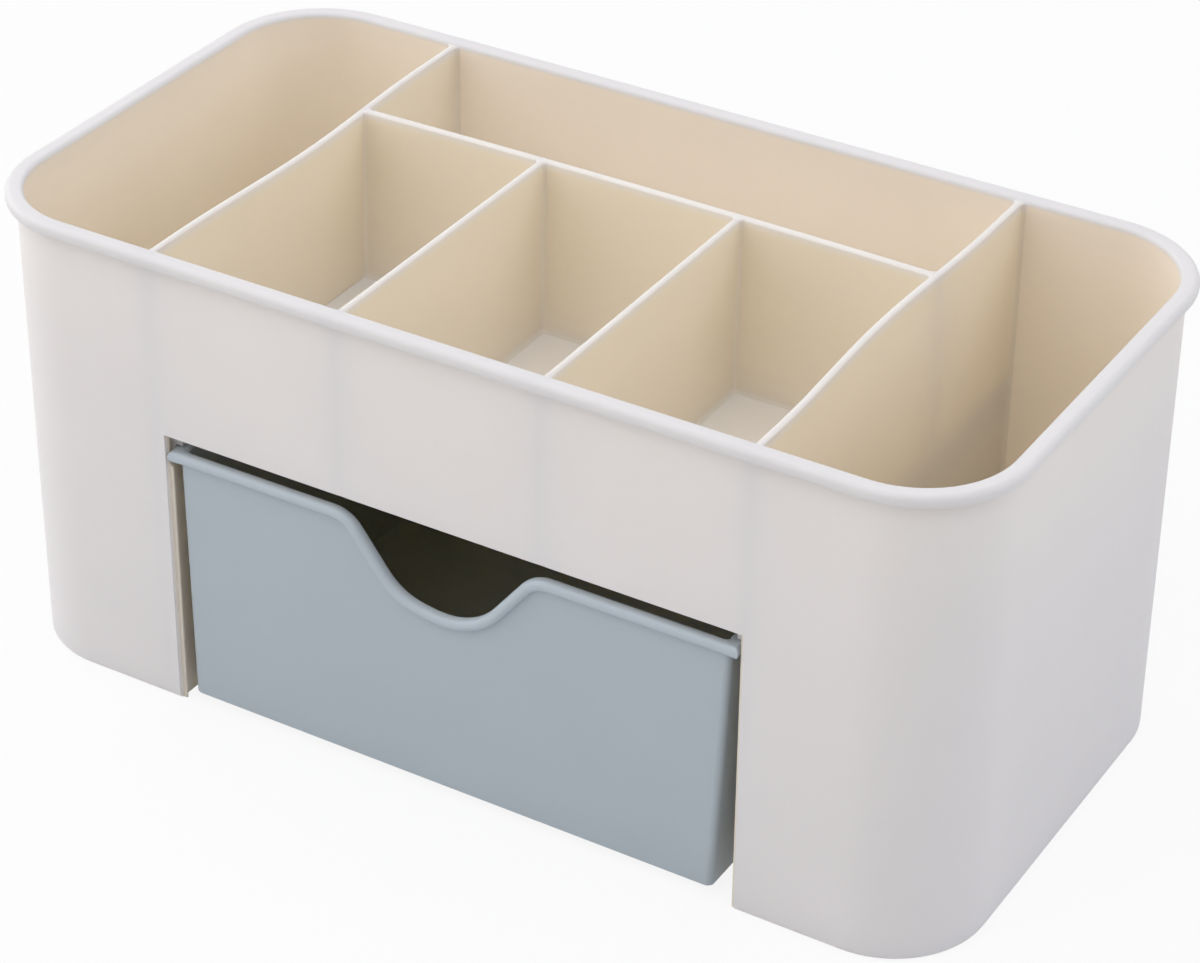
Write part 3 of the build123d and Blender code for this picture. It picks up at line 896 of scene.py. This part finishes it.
class ORGANIZER_OT_drawer(Operator):
    """Build the drawer with its wave-shaped lip"""

    bl_idname = "organizer.drawer"
    bl_label = "Drawer"

    def execute(self, context):
        scene = context.scene
        finish = scene.organizer_finish
        # The lip layer is a painted highlight: a lighter blue-grey on the thick lip.
        layers = (("lip", finish.lip, None),)
        plastic = moulded_plastic("drawer_plastic_look", finish, finish.drawer, layers=layers)
        dress(build_drawer(scene.organizer_drawer), plastic, DRAWER, "drawer")
        return {"FINISHED"}


def seen_rays(kit):
    """1 for rays from the camera, a reflection or a clear body, and 0 for the light on the object."""
    path = kit.add("ShaderNodeLightPath").outputs
    pair = {0: path["Is Camera Ray"], 1: path["Is Glossy Ray"]}
    either = kit.add("ShaderNodeMath", pair, operation="MAXIMUM").outputs[0]
    every = {0: either, 1: path["Is Transmission Ray"]}
    return kit.add("ShaderNodeMath", every, operation="MAXIMUM").outputs[0]


def make_floor(studio):
    """Wide flat floor: white to the camera, with part of its own shading, and plain pale to the object."""
    ways = np.array([(-1, -1), (1, -1), (1, 1), (-1, 1)])
    corners = np.column_stack([FLOOR_REACH * ways, np.full(len(ways), FLOOR_LEVEL)])
    floor = make_piece("floor", corners, np.array([[0, 1, 2, 3]]))
    material = bpy.data.materials.new("studio_floor")
    material.use_nodes = True
    kit = Nodes(material.node_tree)
    matt = kit.add("ShaderNodeBsdfDiffuse", {"Color": (studio.floor,) * 3 + (1.0,)})
    bright = kit.add("ShaderNodeEmission", {"Color": (1, 1, 1, 1), "Strength": 1.0})
    amount = kit.add("ShaderNodeMath", {0: seen_rays(kit), 1: 1.0 - studio.shadow}, operation="MULTIPLY")
    surface = kit.blend(amount.outputs[0], matt.outputs[0], bright.outputs[0])
    kit.add("ShaderNodeOutputMaterial", {"Surface": surface})
    floor.data.materials.append(material)


def make_world(studio):
    """Even ambient light on the object, plain white to the camera and in reflections."""
    world = bpy.data.worlds.new("studio")
    world.use_nodes = True
    kit = Nodes(world.node_tree)
    soft = kit.add("ShaderNodeBackground", {"Color": (1, 1, 1, 1), "Strength": studio.ambient})
    white = kit.add("ShaderNodeBackground", {"Color": (1, 1, 1, 1), "Strength": 1.0})
    surface = kit.blend(seen_rays(kit), soft.outputs[0], white.outputs[0])
    kit.add("ShaderNodeOutputWorld", {"Surface": surface})
    bpy.context.scene.world = world


def softbox(name, place, width, brightness, tint):
    """Square lamp that faces the box, with its brightness per area and its tint."""
    lamp = bpy.data.lights.new(name, "AREA")
    lamp.shape = "RECTANGLE"
    lamp.size = lamp.size_y = width
    lamp.energy = brightness * math.pi * width * width
    lamp.color = tint
    holder = bpy.data.objects.new(name, lamp)
    aim = Vector(LAMP_AIM) - Vector(place)
    holder.matrix_world = Matrix.Translation(place) @ aim.to_track_quat("-Z", "Y").to_matrix().to_4x4()
    bpy.context.scene.collection.objects.link(holder)


def make_camera(studio):
    """Camera on a sphere round its target, with the optical centre and focal length of the photo."""
    a, e, r = studio.azimuth, studio.elevation, studio.roll
    back = Vector((math.sin(a) * math.cos(e), -math.cos(a) * math.cos(e), math.sin(e)))
    right = Vector((math.cos(a), math.sin(a), 0))
    up = back.cross(right)
    right, up = math.cos(r) * right + math.sin(r) * up, math.cos(r) * up - math.sin(r) * right
    eye = Vector(studio.target) + studio.distance * back
    data = bpy.data.cameras.new("camera")
    data.sensor_fit = "HORIZONTAL"
    data.lens = data.sensor_width * studio.focal
    data.shift_x = 0.5 - studio.centre[0] / PHOTO_SIZE[0]
    data.shift_y = (studio.centre[1] - PHOTO_SIZE[1] / 2) / PHOTO_SIZE[0]
    camera = bpy.data.objects.new("camera", data)
    camera.matrix_world = Matrix.Translation(eye) @ Matrix((right, up, back)).transposed().to_4x4()
    bpy.context.scene.collection.objects.link(camera)
    bpy.context.scene.camera = camera


class ORGANIZER_OT_stage(Operator):
    """Set up the floor, the soft lamps, the white surround and the camera"""

    bl_idname = "organizer.stage"
    bl_label = "Studio"

    def execute(self, context):
        studio = context.scene.organizer_studio
        context.scene.view_settings.view_transform = "Standard"
        make_floor(studio)
        make_world(studio)
        for name, place, width, tint in SOFTBOXES:
            softbox(name + "_softbox", place, width, getattr(studio, name), getattr(studio, tint))
        make_camera(studio)
        return {"FINISHED"}


class ORGANIZER_PT_panel(Panel):
    """Sidebar list of the organizer's pieces and settings"""

    bl_idname = "ORGANIZER_PT_panel"
    bl_label = "Cosmetic organizer"
    bl_space_type = "VIEW_3D"
    bl_region_type = "UI"
    bl_category = "Organizer"

    def draw(self, context):
        for key, group in SETTINGS.items():
            box = self.layout.box()
            box.label(text=group.__doc__)
            for name in group.__annotations__:
                box.prop(getattr(context.scene, key), name)
        for operator in STEPS:
            self.layout.operator(operator.bl_idname)


SETTINGS = {
    "organizer_shell": ShellSizes,
    "organizer_panels": PanelSizes,
    "organizer_drawer": DrawerSizes,
    "organizer_finish": Finishes,
    "organizer_studio": StudioSettings,
}
STEPS = (
    ORGANIZER_OT_shell, ORGANIZER_OT_panels, ORGANIZER_OT_floors, ORGANIZER_OT_drawer, ORGANIZER_OT_stage,
)
CLASSES = (*SETTINGS.values(), *STEPS, ORGANIZER_PT_panel)


def register():
    """Registers the classes and gives every scene the settings."""
    for item in CLASSES:
        bpy.utils.register_class(item)
    for key, group in SETTINGS.items():
        setattr(bpy.types.Scene, key, PointerProperty(type=group))


def unregister():
    """Takes back what register did."""
    for key in SETTINGS:
        delattr(bpy.types.Scene, key)
    for item in reversed(CLASSES):
        bpy.utils.unregister_class(item)


def main():
    """Builds every piece and the stage."""
    register()
    bpy.ops.organizer.shell()
    bpy.ops.organizer.panels()
    bpy.ops.organizer.floors()
    bpy.ops.organizer.drawer()
    bpy.ops.organizer.stage()


if __name__ == "__main__":
    main()
